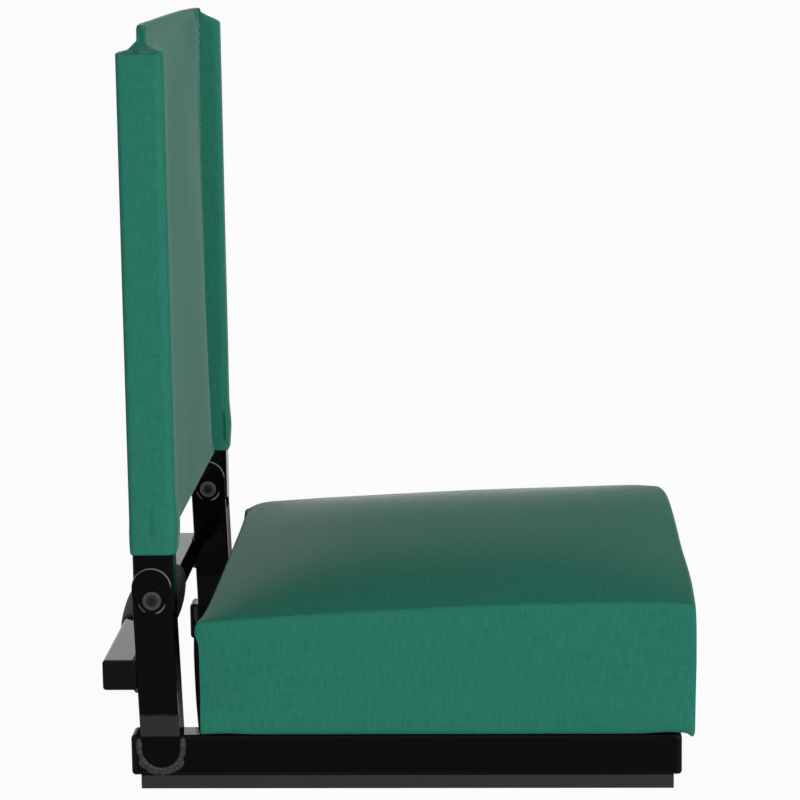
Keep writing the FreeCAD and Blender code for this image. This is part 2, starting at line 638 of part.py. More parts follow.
# Seat: board bolted to the cross tubes, foam with a crown, cloth drawn over both.
def cushion(inset):
    """The cushion's form, set in by an amount: sections along X with swelling sides and a crowned top."""
    rear, length = value("dims.rail_rear + dims.seat_rear") + inset, value("dims.seat_length") - 2 * inset
    bend = value("dims.seat_end_round")
    ends = [bend * share for share in END_SHARES]
    middle = [length * share for share in MIDDLE_SHARES]
    stations = ends + middle + [length - step for step in reversed(ends)]
    base = value(RAIL_TOP) + inset
    wires = []
    for along in stations:
        near_end = min(1, min(along, length - along) / bend)
        shrink = 1 - math.sqrt(1 - (1 - near_end) ** 2)
        rise = value("dims.seat_rise") * math.sin(math.pi / 2 * along / length)
        level = value(RAIL_TOP) + value("dims.seat_edge") + rise - inset
        edge = level - shrink * value("dims.seat_end_drop")
        half = value(SEAT_WIDTH) / 2 - inset - shrink * value("dims.seat_end_draw")
        crown = edge + value("dims.seat_crown") * (1 - shrink / 2)
        wires.append(cushion_section(rear + along, base, edge, half, crown))
    return Part.makeLoft(wires, True, False)


def cushion_section(x, base, edge, half, crown):
    """One section: level bottom, sides that swell and draw in, round upper edges and an arched top."""
    bend = value("dims.seat_round")
    top = half - value("dims.seat_draw")
    shoulder = edge - bend
    swell = half + value("dims.seat_swell") / 2
    slack = bend * (1 - math.sqrt(0.5))
    right = [(half, base), (swell, (base + shoulder) / 2), (top, shoulder), (top - slack, edge - slack),
             (top - bend, edge)]
    ring = right + [(0, crown)] + [(-y, z) for y, z in reversed(right)]
    points = [Vector(x, y, z) for y, z in ring]
    arcs = [Part.Arc(*points[i:i + 3]) for i in range(0, len(points) - 2, 2)]
    floor = Part.LineSegment(points[-1], points[0])
    return Part.Wire([curve.toShape() for curve in [floor] + arcs])


def make_cushion():
    cloth = value("dims.cloth")
    lip = value("dims.lip_width")
    rear, length = value("dims.rail_rear + dims.seat_rear"), value("dims.seat_length")
    half = value(SEAT_WIDTH) / 2 - lip
    corner = Vector(rear + lip, -half, value(RAIL_TOP) - cloth / 2)
    mouth = Part.makeBox(length - 2 * lip, 2 * half, 2 * cloth, corner)
    feature_of("seat_cover", cushion(0).cut(cushion(cloth)).cut(mouth))
    foam = cushion(cloth + value("dims.cloth_gap"))
    box = foam.BoundBox
    above = Part.makeBox(box.XLength, box.YLength, box.ZMax, Vector(box.XMin, box.YMin, value(BOARD_TOP)))
    feature_of("seat_foam", foam.common(above))


def make_board():
    inset = "2 * (dims.cloth + dims.board_gap)"
    length, width = "dims.seat_length - " + inset, SEAT_WIDTH + " - " + inset
    body = new_body("seat_board")
    sketch = new_sketch(body, "XY_Plane")
    rounded_rectangle(sketch, length, width, "dims.board_corner")
    pad(body, sketch, "dims.board_thick")
    spots = bolt_spots()
    holes = new_sketch(body, "XY_Plane")
    circles(holes, "dims.tee_barrel_dia + 2 * dims.tee_fit", spots)
    pocket(body, holes, both_ways=True)
    seats = new_sketch(body, "XY_Plane", "dims.board_thick")
    circles(seats, "dims.tee_flange_dia + 2 * dims.tee_fit", spots)
    pocket(body, seats, "dims.tee_flange")
    place(body, SEAT_MID_X, 0, BOARD_BOTTOM)


def bolt_spots():
    """Formulas for the seat bolts' places, from the middle of the board."""
    return [("dims.rail_rear + %s - %s" % (ahead, SEAT_MID_X), "%d * dims.seat_bolt_spread / 2" % sign)
            for ahead in ("dims.rear_cross_ahead", "dims.front_cross_ahead") for sign in (1, -1)]


def make_seat_fasteners():
    shank, head = "dims.seat_bolt_dia / 2", "dims.seat_bolt_head_dia / 2"
    length = "%s - dims.seat_bolt_short - %s" % (BOARD_TOP, CROSS_BOTTOM)
    below = "-dims.washer_thick"
    bolt = new_body("seat_bolt_form")
    soft = "dims.seat_bolt_head / 4"
    revolve(bolt, [("0", "%s - dims.seat_bolt_head" % below),
                   ("%s - %s" % (head, soft), "%s - dims.seat_bolt_head" % below, soft),
                   (head, "%s - dims.seat_bolt_head + %s" % (below, soft)), (head, below), (shank, below),
                   (shank, length), ("0", length)])
    washer = new_body("washer_form")
    hole, rim = "dims.seat_bolt_hole / 2", "dims.washer_dia / 2"
    revolve(washer, [(hole, below), (rim, below), (rim, "0"), (hole, "0")])
    nut = new_body("tee_nut_form")
    bore, barrel = "%s + dims.running_fit" % shank, "dims.tee_barrel_dia / 2"
    flange, low = "dims.tee_flange_dia / 2", "-dims.tee_flange"
    end = "%s - dims.tee_barrel" % low
    revolve(nut, [(bore, end), (barrel, end), (barrel, low), (flange, low), (flange, "0"), (bore, "0")])
    doc.recompute()
    for label, form, z in (("seat_bolts", bolt, CROSS_BOTTOM), ("seat_bolt_washers", washer, CROSS_BOTTOM),
                           ("tee_nuts", nut, BOARD_TOP)):
        group(label, form, [turned(Z_AXIS, 0, value(SEAT_MID_X) + value(x), value(y), value(z))
                            for x, y in bolt_spots()])


def sub_parts():
    """Every object that is a node: what has a solid of its own and isn't a form that a group copies."""
    kinds = ("PartDesign::Body", "Part::Box", "Part::Feature")
    return [item for item in doc.Objects if item.TypeId in kinds and not item.Label.endswith("_form")]


make_rails()
make_cross_tubes()
make_risers()
make_handle()
make_pivots()
make_posts()
make_cross_bars()
make_cover()
make_cushion()
make_board()
make_seat_fasteners()
doc.recompute()

for item in doc.Objects:
    if "Invalid" in item.State or "Error" in item.State:
        raise RuntimeError("%s did not build" % item.Label)
for item in sub_parts():
    if item.Shape.isNull() or not item.Shape.isValid() or not item.Shape.Solids:
        raise RuntimeError("%s has no valid solid" % item.Label)

os.makedirs("parts", exist_ok=True)
for item in sub_parts():
    item.Shape.exportStep("parts/%s.step" % item.Label)
whole = Part.makeCompound([item.Shape for item in sub_parts()])
print(len(sub_parts()), "nodes,", len(whole.Solids), "solids, box", whole.BoundBox)
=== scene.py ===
# %% [markdown]
# A folding stadium seat. It has a padded cushion on a welded steel base, and a back of cloth on two steel posts.
# The steel, rubber and plastic pieces come from the CAD model and keep their shapes; here they get their finishes.
# The cushion and the cloth back are soft, so they are modelled again as what they are, where their CAD solids sit.

# %% Load the CAD frame
import json
import math

import bpy
import numpy as np
from mathutils import Matrix, Vector, noise


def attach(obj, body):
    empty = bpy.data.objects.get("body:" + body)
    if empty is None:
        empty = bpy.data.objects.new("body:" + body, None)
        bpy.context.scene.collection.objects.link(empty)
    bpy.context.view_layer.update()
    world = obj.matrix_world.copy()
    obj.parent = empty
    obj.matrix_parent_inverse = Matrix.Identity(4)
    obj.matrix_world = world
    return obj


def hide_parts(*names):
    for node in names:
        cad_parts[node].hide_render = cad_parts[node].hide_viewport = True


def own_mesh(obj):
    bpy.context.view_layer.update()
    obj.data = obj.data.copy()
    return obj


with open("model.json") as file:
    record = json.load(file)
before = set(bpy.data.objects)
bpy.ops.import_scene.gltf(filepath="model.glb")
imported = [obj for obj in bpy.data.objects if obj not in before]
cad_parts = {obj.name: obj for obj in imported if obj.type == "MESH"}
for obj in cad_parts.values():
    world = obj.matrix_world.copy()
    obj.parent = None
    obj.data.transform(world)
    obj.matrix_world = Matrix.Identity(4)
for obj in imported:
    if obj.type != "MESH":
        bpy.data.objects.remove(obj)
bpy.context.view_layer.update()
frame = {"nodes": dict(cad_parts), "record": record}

scene = bpy.context.scene

# %% [markdown]
# The camera stands on the seat's right side, a little ahead of it and above, with a long lens.
# A camera could be aimed with a Track To constraint; its axes are written out instead, because the picture is also
# tilted by almost a degree, which a constraint would take out.

# %% Place the camera
yaw, pitch, roll = (math.radians(a) for a in (-2.453, 10.117, -0.805))
look = Vector((math.sin(yaw) * math.cos(pitch), math.cos(yaw) * math.cos(pitch), -math.sin(pitch)))
level = Vector((math.cos(yaw), -math.sin(yaw), 0.0))
upright = level.cross(look)
right = level * math.cos(roll) + upright * math.sin(roll)
above = upright * math.cos(roll) - level * math.sin(roll)
camera = bpy.data.objects.new("seat_camera", bpy.data.cameras.new("seat_camera"))
camera.data.sensor_width, camera.data.lens = 36.0, 134.85
camera.matrix_world = Matrix.Translation((0.0963, -2.330, 0.6688)) @ Matrix((right, above, -look)).transposed().to_4x4()
scene.collection.objects.link(camera)
scene.camera = camera
scene.view_settings.view_transform = "Standard"
print("camera", [round(v, 3) for v in camera.matrix_world.translation])

# %% [markdown]
# Finishes are written as arithmetic. A small class wraps one socket of a node tree: adding or multiplying two of them
# adds the Math node, and one method makes every other node. Building the trees by hand in the editor gives the same
# nodes, but the sums are easier to read here.


# %% Wrap a socket, so that shader maths reads as maths
class Link:
    """An output socket in a node tree; + - * on it add Math nodes, and node() adds any other node."""

    def __init__(self, tree, socket=None):
        self.tree, self.socket = tree, socket

    def node(self, kind, settings=None, sockets=None, out=0):
        made = self.tree.nodes.new(kind)
        for name, value in (settings or {}).items():
            setattr(made, name, value)
        for name, value in (sockets or {}).items():
            if isinstance(value, Link):
                self.tree.links.new(value.socket, made.inputs[name])
            else:
                made.inputs[name].default_value = value
        return Link(self.tree, made.outputs[out])

    def math(self, operation, first, second=0.0, third=0.0):
        return self.node("ShaderNodeMath", {"operation": operation}, {0: first, 1: second, 2: third})

    def mix(self, share, first, second):
        return self.node("ShaderNodeMix", {"data_type": "RGBA"}, {0: share, 6: first, 7: second}, 2)

    def noise(self, place, scale, detail=2.0):
        return self.node("ShaderNodeTexNoise", None, {"Vector": place, "Scale": scale, "Detail": detail})

    def ramp(self, value, first, last):
        """0 at first, 1 at last, straight between them."""
        return self.node("ShaderNodeMapRange", None, {0: value, 1: first, 2: last, 3: 0.0, 4: 1.0})

    def stretch(self, place, by):
        return self.node("ShaderNodeVectorMath", {"operation": "MULTIPLY"}, {0: place, 1: by})

    def __add__(self, other):
        return self.math("ADD", self, other)

    def __sub__(self, other):
        return self.math("SUBTRACT", self, other)

    def __rsub__(self, other):
        return self.math("SUBTRACT", other, self)

    def __mul__(self, other):
        return self.math("MULTIPLY", self, other)

    __radd__, __rmul__ = __add__, __mul__


def new_finish(name, **constants):
    """A material with one Principled shader; constants are sockets that are the same all over, with _ for a space."""
    material = bpy.data.materials.new(name)
    material.use_nodes = True
    shader = material.node_tree.nodes["Principled BSDF"]
    for socket, value in constants.items():
        shader.inputs[socket.replace("_", " ")].default_value = value
    return material, Link(material.node_tree), shader


def put(shader, **sockets):
    """Links values that change over the surface to the shader."""
    for name, value in sockets.items():
        value.tree.links.new(value.socket, shader.inputs[name.replace("_", " ")])


def bump(start, height, distance, strength=1.0):
    return start.node("ShaderNodeBump", None, {"Height": height, "Distance": distance, "Strength": strength})


# %% [markdown]
# Gloss black paint covers the tubes, plates and bar. A sprayed coat is never quite flat: it has a fine ripple like
# orange peel, and its shine changes a little from place to place. Both are noise on Object coordinates, so that the
# ripple stays on the metal when the back folds. On the riser plates and pivot bolts, a mask mixes painted light into
# the colour. The mask is made of distances from the pivot and from the plates' round ends. It gives painted highlights
# on the round ends, the collars and the bolt heads, a painted reflection just above the rail, and painted shade in the
# sockets.

# %% Gloss black paint and black steel
finishes = {}
PIVOT, ROUND_END = (-0.1776, 0.0, 0.1432), (-0.1779, 0.0, 0.1526)
# centres of the painted highlights on the collar
GLINT_FRONT, GLINT_REAR = (-0.1706, 0.0, 0.1362), (-0.1852, 0.0, 0.1376)


def away_from(start, place, centre):
    """Distance from a line along Y."""
    flat = start.stretch(place, (1.0, 0.0, 1.0))
    return start.node("ShaderNodeVectorMath", {"operation": "DISTANCE"}, {0: flat, 1: centre}, 1)


def plate_painted_light(start, place, patches):
    """Painted light on a riser plate, where its gloss is also dulled: a paler band just above the rail, which is a
    painted reflection, and painted highlights along its round end and on the lower sides of the collar."""
    height = start.node("ShaderNodeSeparateXYZ", None, {0: place}, 2)
    inside = start.ramp(start.math("ABSOLUTE", start.node("ShaderNodeSeparateXYZ", None, {0: place}, 1)), 0.2, 0.19)
    # painted reflection: a paler band just above the rail
    painted_reflection = start.ramp(height, 0.0402, 0.0412) * start.ramp(height + patches * 0.004 - inside * 0.0105, 0.0595, 0.0575)
    # painted highlight along the plate's round end
    end = start.ramp(away_from(start, place, ROUND_END), 0.0138, 0.0143) * start.ramp(height, 0.1525, 0.1560)
    away = away_from(start, place, PIVOT)
    collar = start.ramp(away, 0.0092, 0.0096) * start.ramp(away, 0.0106, 0.0101)
    # painted highlights on the lower sides of the collar
    glint_spots = start.ramp(away_from(start, place, GLINT_FRONT), 0.0056, 0.0030)
    glint_spots = glint_spots + start.ramp(away_from(start, place, GLINT_REAR), 0.0044, 0.0030) * 0.35
    return painted_reflection * (1 - inside * 0.55) + end * (patches * 5 + 4) + collar * glint_spots * 7.0


def head_painted_light(start, place, patches):
    """Painted light on a pivot bolt's head: a painted highlight, most on its ring and less inside it,
    and the socket left dark as painted shade.
    """
    away = away_from(start, place, PIVOT)
    # painted highlight on the ring, and a lighter head round the socket, which stays dark as painted shade
    ring = start.ramp(away, 0.0044, 0.0052) * start.ramp(away + patches * 0.001, 0.0076, 0.0068)
    return ring * 0.5 + start.ramp(away, 0.0027, 0.0030) * 0.22


def black_coat(name, rough, spread, ripple, specular, tint, painted_light=None, painted_light_grey=0.0):
    material, start, shader = new_finish(name, Specular_IOR_Level=specular, Specular_Tint=(tint, tint, tint, 1))
    place = start.node("ShaderNodeTexCoord", out="Object")
    patches = start.noise(place, 45.0, 3.0)
    colour = start.mix(patches, (0.0008, 0.0008, 0.0009, 1), (0.0022, 0.0022, 0.0024, 1))
    shine = patches * spread + rough
    # painted highlights, a painted reflection and painted shade, mixed into the colour of the plates and bolt heads
    if painted_light:
        painted_light_mask = painted_light(start, place, patches)
        colour = start.node("ShaderNodeMix", {"data_type": "RGBA", "clamp_factor": False},
                            {0: painted_light_mask, 6: colour, 7: (painted_light_grey, painted_light_grey, painted_light_grey * 1.04, 1)}, 2)
        shine = start.math("MINIMUM", shine + painted_light_mask * 0.35, 0.5)
    put(shader, Roughness=shine, Base_Color=colour, Normal=bump(start, start.noise(place, 420.0), ripple))
    finishes[name] = material


black_coat("gloss_black_paint", 0.03, 0.05, 0.00004, 0.5, 0.1)
# the riser plates carry painted highlights and a painted reflection
black_coat("plate_paint", 0.03, 0.05, 0.00004, 0.5, 0.1, plate_painted_light, 0.024)
black_coat("stub_paint", 0.3, 0.1, 0.00004, 0.02, 0.5)
# the pivot bolts carry painted highlights and painted shade
black_coat("black_steel", 0.2, 0.12, 0.00003, 0.5, 0.5, head_painted_light, 0.05)
print("coats:", list(finishes))

# %% [markdown]
# The other hard finishes: moulded plastic plugs, the rubber strips under the rails, the foam rubber of the grip, zinc
# on the screws and bolts, and bare nylon bushes. Each is one noise at the size of its own grain. A photograph of the
# surface would do the same, but a procedural grain has no edges and no fixed resolution.


# %% Plastic, rubber, foam rubber, zinc and nylon
def grainy(name, dark, pale, grain, depth, rough, spread, **constants):
    material, start, shader = new_finish(name, **constants)
    place = start.node("ShaderNodeTexCoord", out="Object")
    fine, broad = start.noise(place, grain, 3.0), start.noise(place, grain / 14.0, 2.0)
    put(shader, Base_Color=start.mix(fine * 0.6 + broad * 0.4, dark, pale), Roughness=fine * spread + rough,
        Normal=bump(start, fine, depth))
    finishes[name] = material


grainy("black_plastic", (0.0012, 0.0012, 0.0014, 1), (0.0032, 0.0032, 0.0035, 1), 900.0, 0.00005, 0.2, 0.14,
       Specular_IOR_Level=0.08)
grainy("rubber", (0.015, 0.015, 0.0154, 1), (0.027, 0.027, 0.0277, 1), 700.0, 0.00015, 0.7, 0.2,
       Specular_IOR_Level=0.2)
grainy("grip_foam", (0.005, 0.005, 0.0054, 1), (0.012, 0.012, 0.0126, 1), 800.0, 0.0003, 0.6, 0.2,
       Specular_IOR_Level=0.2)
# paler than the paint: a painted highlight for the light that the rounded beads catch
grainy("weld_painted_highlight", (0.01, 0.01, 0.0104, 1), (0.032, 0.032, 0.033, 1), 300.0, 0.0005, 0.42, 0.3,
       Specular_IOR_Level=0.3)
grainy("zinc_steel", (0.45, 0.46, 0.48, 1), (0.7, 0.7, 0.72, 1), 350.0, 0.00003, 0.24, 0.2, Metallic=1.0)
grainy("nylon", (0.66, 0.64, 0.58, 1), (0.74, 0.72, 0.67, 1), 600.0, 0.00003, 0.36, 0.1, Subsurface_Weight=0.1)
print("hard finishes:", len(finishes))

# %% [markdown]
# The board under the cushion is raw plywood, seen only from below and along its edge. Long stretched noise makes the
# grain of the face sheet, and a wave along Z gives the plies of the edge.

# %% Plywood
material, start, shader = new_finish("plywood", Specular_IOR_Level=0.3)
place = start.node("ShaderNodeTexCoord", out="Object")
grain = start.noise(start.stretch(place, (6.0, 160.0, 160.0)), 1.0, 4.0)
height = start.node("ShaderNodeSeparateXYZ", None, {0: place}, 2)
plies = start.math("SINE", height * (2 * math.pi / 0.0036)) * 0.25 + 0.5
put(shader, Base_Color=start.mix(grain * 0.7 + plies * 0.3, (0.3, 0.17, 0.075, 1), (0.62, 0.44, 0.25, 1)),
    Roughness=grain * 0.2 + 0.55, Normal=bump(start, grain, 0.0001))
finishes["plywood"] = material
print("plywood grain runs along X")

# %% [markdown]
# The cover is a tight plain-weave polyester. Warp and weft cross about once in a millimetre; seen closely, some threads
# are thicker (slubs), so the green is finely streaked both ways. The pattern lies on the piece's own UV map, which is
# in metres, because cloth has to follow the surface round its folds. Sheen gives the pale look at a low angle; cloth
# tucked into a seam has none and is a darker green, painted shade in the seam's hollow. The back of the cushion is
# painted near black as painted shade, past a line that its mesh carries as an attribute.

# %% Green cloth and its thread
WEAVE = 0.00095


def cloth(name, dark, pale, sheen, shade_attribute=None):
    material, start, shader = new_finish(
        name, Specular_IOR_Level=0.0, Sheen_Weight=sheen, Sheen_Roughness=0.22, Sheen_Tint=(1.0, 0.97, 0.92, 1))
    place = start.node("ShaderNodeUVMap", {"uv_map": "cloth"})
    across = start.node("ShaderNodeSeparateXYZ", None, {0: place}, 0)
    along = start.node("ShaderNodeSeparateXYZ", None, {0: place}, 1)
    turn = 2 * math.pi / WEAVE
    weave = start.math("SINE", across * turn) * start.math("SINE", along * turn)
    weft_slubs = start.noise(start.stretch(place, (70.0, 620.0, 1.0)), 1.0, 2.0)
    warp_slubs = start.noise(start.stretch(place, (620.0, 70.0, 1.0)), 1.0, 2.0)
    mottle = start.noise(place, 260.0, 2.0)
    broad = start.noise(place, 14.0, 2.0)
    tone = weft_slubs * 0.24 + warp_slubs * 0.44 + mottle * 0.24 + broad * 0.08 + weave * 0.08
    colour = start.mix(start.math("MULTIPLY_ADD", tone, 2.2, -0.6), dark, pale)
    if shade_attribute:
        past_shade_line = start.node("ShaderNodeAttribute", {"attribute_name": shade_attribute}, out="Fac")
        # past the line the cloth is painted near black: painted shade on the back of the cushion
        colour = start.mix(start.ramp(past_shade_line, 0.0, 0.0005), colour, (0.0035, 0.004, 0.0038, 1))
    put(shader, Base_Color=colour, Roughness=mottle * 0.12 + 0.8,
        Normal=bump(start, weave * 0.6 + weft_slubs + warp_slubs, 0.00004, 0.6))
    finishes[name] = material


GREEN = (0.0155, 0.128, 0.087, 1), (0.0285, 0.182, 0.129, 1)
cloth("green_cloth", *GREEN, 0.4)
cloth("cushion_cloth", *GREEN, 0.33)
# the cushion's back: no sheen, and painted near black past the line, as painted shade
cloth("rear_painted_shade_cloth", *GREEN, 0.0, "past_shade_line")
# a darker green without sheen: painted shade in the hollow of the seams on the back
cloth("seam_shade_cloth", (0.011, 0.09, 0.061, 1), (0.02, 0.128, 0.09, 1), 0.0)
material, start, shader = new_finish("green_thread", Specular_IOR_Level=0.25, Sheen_Weight=0.3)
place = start.node("ShaderNodeTexCoord", out="Object")
twist = start.noise(place, 1500.0)
put(shader, Base_Color=start.mix(twist, (0.012, 0.1, 0.068, 1), (0.028, 0.17, 0.12, 1)), Roughness=twist * 0.2 + 0.6)
finishes["green_thread"] = material
print("weave of", WEAVE * 1000, "mm")

# %% [markdown]
# The CAD nodes keep their meshes; only the materials in their slots change. The record says which finish each node has.

# %% Give every CAD node its finish
for part in frame["record"]["subparts"]:
    node = frame["nodes"][part["node"]]
    own = {"plate": "plate_paint", "stub": "stub_paint"}.get(part["node"].split("_")[-2], part["material_slot"])
    finish = finishes.get(own, finishes["green_cloth"])
    if not node.material_slots:
        node.data.materials.append(finish)
    for slot in node.material_slots:
        slot.material = finish

# %% [markdown]
# A plain studio: white background, pale floor, a large soft lamp on the camera's side, a weaker one in front of the
# seat and even light all round. A long thin lamp above adds a little light to what faces up.
# The background is white only for rays that come from the camera or off something glossy; the light on the object is
# the lower level that the other rays see, so that colours render about as they are written.

# %% Studio
world = bpy.data.worlds.new("studio")
world.use_nodes = True
scene.world = world
sky = world.node_tree.nodes["Background"]
start = Link(world.node_tree)


def seen_straight(start, by_camera=1.0, by_gloss=1.0):
    """A share for a ray from the camera, another for one off gloss or through something clear, otherwise 0."""
    camera_ray = start.node("ShaderNodeLightPath", out="Is Camera Ray")
    glossy_ray = start.node("ShaderNodeLightPath", out="Is Glossy Ray")
    clear_ray = start.node("ShaderNodeLightPath", out="Is Transmission Ray")
    return start.math("MAXIMUM", camera_ray * by_camera, start.math("MAXIMUM", glossy_ray, clear_ray) * by_gloss)


put(sky, Color=start.mix(seen_straight(start), (0.36, 0.36, 0.36, 1), (1, 1, 1, 1)))


def add_lamp(name, direction, distance, wide, high, light):
    """A soft box of this size that gives the object this much light from a direction."""
    lamp = bpy.data.objects.new(name, bpy.data.lights.new(name, "AREA"))
    lamp.data.shape, lamp.data.size, lamp.data.size_y = "RECTANGLE", wide, high
    lamp.data.energy = math.pi * light * distance ** 2
    toward = Vector(direction).normalized()
    lamp.location = Vector((0, 0, 0.25)) + toward * distance
    lamp.rotation_mode, lamp.rotation_quaternion = "QUATERNION", toward.to_track_quat("Z", "Y")
    scene.collection.objects.link(lamp)
    print(name, "at", [round(v, 2) for v in lamp.location])


add_lamp("soft_lamp", (0.3, -0.93, 0.24), 12.0, 2.6, 2.2, 1.62)
add_lamp("front_lamp", (0.88, -0.36, 0.3), 12.0, 2.6, 2.2, 1.0)
add_lamp("strip_lamp", (-0.22, -0.9, 0.5), 8.0, 4.0, 0.16, 0.2)

REACH = 40
floor_mesh = bpy.data.meshes.new("floor")
floor_mesh.from_pydata([(-REACH, -REACH, 0), (REACH, -REACH, 0), (REACH, REACH, 0), (-REACH, REACH, 0)], [],
                       [(0, 1, 2, 3)])
floor = bpy.data.objects.new("floor", floor_mesh)
floor_mesh.transform(Matrix.Translation((0, 0, -0.0005)))
scene.collection.objects.link(floor)
material, start, shader = new_finish("floor", Specular_IOR_Level=0.0, Roughness=1.0, Base_Color=(0.8, 0.8, 0.8, 1))
glow = start.node("ShaderNodeEmission", None, {"Color": (1, 1, 1, 1), "Strength": 1.0})
pale = start.node("ShaderNodeMixShader", None, {
    0: seen_straight(start, 0.95, 0.5), 1: Link(material.node_tree, shader.outputs[0]), 2: glow})
material.node_tree.links.new(pale.socket, material.node_tree.nodes["Material Output"].inputs["Surface"])
floor_mesh.materials.append(material)
print("floor", 2 * REACH, "m wide")


# %% [markdown]
# The soft pieces need meshes with chosen vertices, so a few helpers come first: one makes an object from points and
# faces, one writes a UV map in metres, and one gives grid lines that are closer together near both ends, where cloth
# bends most.

# %% Helpers for soft pieces
def new_piece(name, points, faces, finish):
    mesh = bpy.data.meshes.new(name)
    mesh.from_pydata([tuple(p) for p in points], [], faces)
    mesh.materials.append(finishes[finish])
    mesh.shade_smooth()
    piece = bpy.data.objects.new(name, mesh)
    scene.collection.objects.link(piece)
    return piece


def lay_cloth(piece, places):
    """Writes the UV map of the weave; places has one (u, v) in metres for each corner of each face, in order."""
    layer = piece.data.uv_layers.new(name="cloth")
    layer.data.foreach_set("uv", np.asarray(places, np.float32).ravel())


def grid_lines(low, high, step, ends=(0.0, 0.0009, 0.0018, 0.0027, 0.0036, 0.0056, 0.0092)):
    ends = np.array(ends)
    inner = np.linspace(low + ends[-1], high - ends[-1], max(2, round((high - low - 2 * ends[-1]) / step) + 1))
    return np.concatenate([low + ends[:-1], inner, high - ends[-2::-1]])


def ease(t):
    t = np.clip(t, 0.0, 1.0)
    return t * t * (3 - 2 * t)


# %% [markdown]
# The cushion is foam on a board with cloth pulled round it. It is higher in front than at the back, crowned on top, its
# sides bulge a little, and the back edge is drawn in between its corners. A cube with a bevel would be too even: here
# the skin of a box is cut into a grid, its edges are rounded, and each side is then pushed where the real one goes.

# %% Cut the cushion's skin
LOW, HIGH = np.array((-0.1465, -0.2055, 0.0406)), np.array((0.2178, 0.2055, 0.130))
EDGE = 0.0036
lines = [grid_lines(LOW[i], HIGH[i], step) for i, step in enumerate((0.0085, 0.0085, 0.008))]
counts = [len(line) - 1 for line in lines]
number, points, quads = {}, [], []


def corner(i, j, k):
    if (i, j, k) not in number:
        number[i, j, k] = len(points)
        points.append((lines[0][i], lines[1][j], lines[2][k]))
    return number[i, j, k]


for axis in range(3):
    a, b = [n for n in range(3) if n != axis]
    for end in (0, counts[axis]):
        for i in range(counts[a]):
            for j in range(counts[b]):
                ring = []
                for di, dj in ((0, 0), (1, 0), (1, 1), (0, 1)):
                    spot = [0, 0, 0]
                    spot[axis], spot[a], spot[b] = end, i + di, j + dj
                    ring.append(corner(*spot))
                outward = (end > 0) == (axis != 1)
                quads.append(ring if outward else ring[::-1])
skin = np.array(points)
flat_side = skin.copy()
core = np.clip(skin, LOW + EDGE, HIGH - EDGE)
out = skin - core
skin = core + EDGE * out / np.maximum(np.linalg.norm(out, axis=1, keepdims=True), 1e-9)
print("cushion grid:", len(skin), "points")

# %% [markdown]
# Now the real cushion's shape. The heights of its near and far top edges were read along their length; the crown falls
# off towards the edges. The lip under the cushion ends 20 mm in, past the staples, so inside it the skin goes up above
# the board and the plywood shows from below. The line past which the back is painted near black, as painted shade, is
# kept as each point's distance past it.


# %% Shape the cushion
LIP, ABOVE_BOARD = 0.02, 0.0512
SHADE_DROP, SHADE_SIDE_X = 0.0105, -0.1448


def shape_cushion(p, rest):
    x, y, z = p.T
    h = np.clip((z - LOW[2]) / (HIGH[2] - LOW[2]), 0, 1)
    a = np.clip((x - LOW[0]) / (HIGH[0] - LOW[0]) * 2 - 1, -1, 1)
    b = np.clip(y / HIGH[1], -1, 1)
    edge = np.interp(x, (-0.146, -0.122, -0.077, 0.0, 0.05, 0.096, 0.16, 0.195, 0.215),
                     (0.1243, 0.1262, 0.1291, 0.1332, 0.1356, 0.1371, 0.1381, 0.1384, 0.1370))
    edge += (b + 1) / 2 * np.interp(x, (-0.14, 0.0, 0.1, 0.2), (0.0021, 0.0015, 0.0012, 0.0026))
    crown = 0.0125 * (1 - np.abs(a) ** 3.2 * np.where(a > 0, 0.72, 1)) * (1 - np.abs(b) ** 3.2)
    z = z + (edge - HIGH[2]) * h + crown * ease((h - 0.9) / 0.1)
    ends = np.abs(b) ** 7
    rear_middle = np.interp(h, (0, 0.5, 0.88, 1), (0.0006, -0.0008, 0.0012, 0.0034))
    rear_corner = np.interp(h, (0, 0.3, 0.7, 0.9, 1), (0.0, -0.0022, -0.0031, -0.0028, -0.0016))
    rear = (rear_middle + (rear_corner - rear_middle) * ends) * ease(1 - (x - LOW[0]) / 0.07)
    front_middle = np.interp(h, (0, 0.5, 0.85, 1), (0.0004, 0.0012, 0.0006, -0.0006))
    cut_back = np.where(b > 0, 0.0024 * b ** 2 + 0.0042 * b ** 12, 0.001 * b ** 6 - 0.0022 * ease(-b / 0.7)) * h ** 2
    x = x + rear + (front_middle - cut_back) * ease((x - 0.13) / 0.085)
    y = y + np.sign(y) * 0.0012 * np.sin(np.pi * h ** 0.8) * (1 - a ** 6) * ease((np.abs(b) - 0.8) / 0.2)
    above = rest[:, 2] - LOW[2]
    z = z + (rest[:, 2] - z) * 0.9 * ease(1 - above / 0.0045)
    y = y + np.sign(y) * 0.0042 * ease(1 - above / 0.034) * ease((np.abs(b) - 0.9) / 0.1)
    lifted = 0.0014 * np.exp(-((x - 0.199) / 0.012) ** 2) + 0.0008 * np.exp(-((x + 0.126) / 0.012) ** 2)
    z = z + lifted * ease(1 - above / 0.02) * ease((np.abs(b) - 0.95) / 0.05)
    z = z - 0.0026 * ease((x - 0.2118) / 0.004) * ease(1 - above / 0.02)
    z = z - 0.0045 * ease((-0.1335 - x) / 0.012) * ease((b - 0.7) / 0.3) * h ** 4
    inset = np.minimum.reduce([rest[:, 0] - LOW[0], HIGH[0] - rest[:, 0], HIGH[1] - np.abs(rest[:, 1])])
    z = np.where((rest[:, 2] < LOW[2] + 1e-6) & (inset > LIP), ABOVE_BOARD, z)
    return np.stack([x, y, z], 1)


